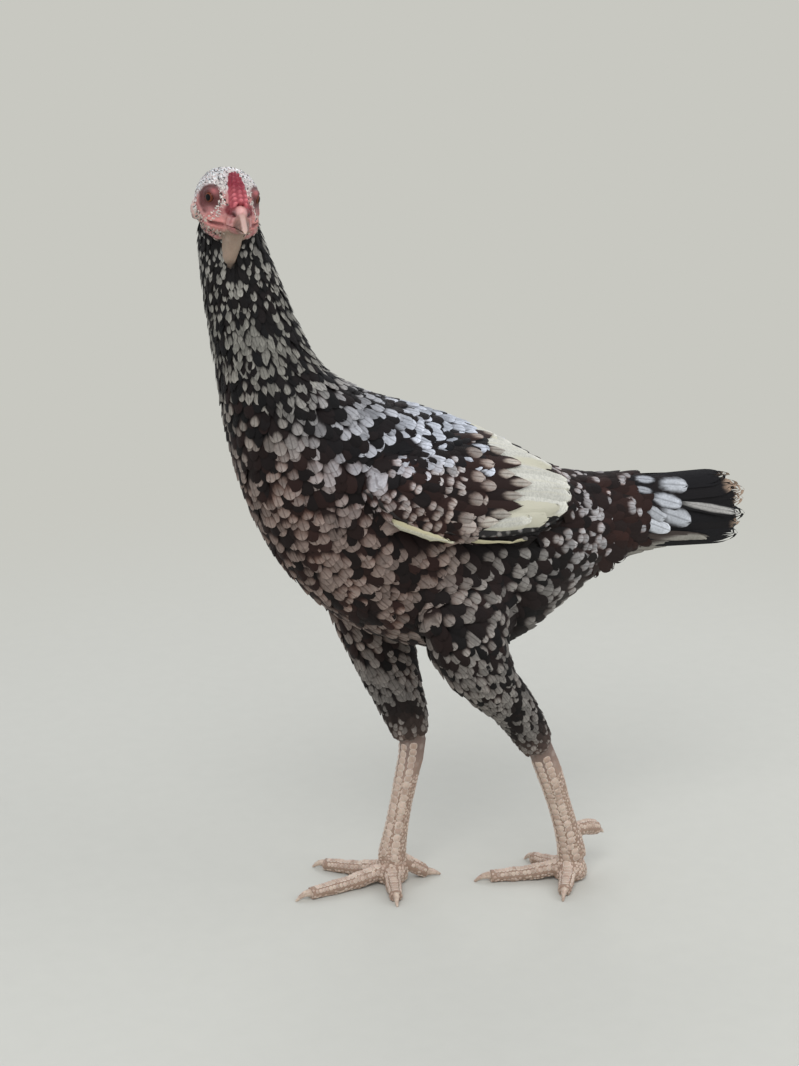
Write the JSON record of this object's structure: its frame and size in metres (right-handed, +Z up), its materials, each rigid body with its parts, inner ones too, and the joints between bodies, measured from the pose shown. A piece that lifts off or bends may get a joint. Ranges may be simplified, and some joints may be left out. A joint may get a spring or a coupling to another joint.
{
  "type": "chicken",
  "caption": "Tall, slender game hen standing mid-step with its head turned to its left; pea comb, bare throat, mottled dark plumage and bare scaled legs. A still life-size model.",
  "frame": {"origin": "on the floor, under the middle of the bird's bounding box", "axes": "+Z up; -X is the way the body faces; +Y is the bird's right, so its left side and its turned head face -Y"},
  "size_m": [0.4272, 0.1476, 0.5352],
  "materials": {
    "plumage": "feather, matte with a slight sheen",
    "face_skin": "fine wrinkled skin, satin",
    "comb": "beaded, satin",
    "beak": "horn, satin",
    "eye": "wet gloss",
    "leg_skin": "scaled, satin",
    "claw": "horn, satin"
  },
  "bodies": {
    "root": {"beak_lower": "beak", "beak_upper": "beak", "belly": "plumage", "breast": "plumage", "claw_hallux_left": "claw", "claw_hallux_right": "claw", "claw_inner_left": "claw", "claw_inner_right": "claw", "claw_middle_left": "claw", "claw_middle_right": "claw", "claw_outer_left": "claw", "claw_outer_right": "claw", "comb": "comb", "dewlap": "face_skin", "ear_lobe_left": "face_skin", "ear_lobe_right": "face_skin", "eye_left": "eye", "eye_right": "eye", "foot_left": "leg_skin", "foot_right": "leg_skin", "hallux_left": "leg_skin", "hallux_right": "leg_skin", "head": "face_skin", "neck": "plumage", "rump": "plumage", "shank_left": "leg_skin", "shank_right": "leg_skin", "tail": "plumage", "thigh_left": "plumage", "thigh_right": "plumage", "toe_inner_left": "leg_skin", "toe_inner_right": "leg_skin", "toe_middle_left": "leg_skin", "toe_middle_right": "leg_skin", "toe_outer_left": "leg_skin", "toe_outer_right": "leg_skin", "wing_coverts_left": "plumage", "wing_coverts_right": "plumage", "wing_flights_left": "plumage", "wing_flights_right": "plumage"}
  },
  "joints": []
}
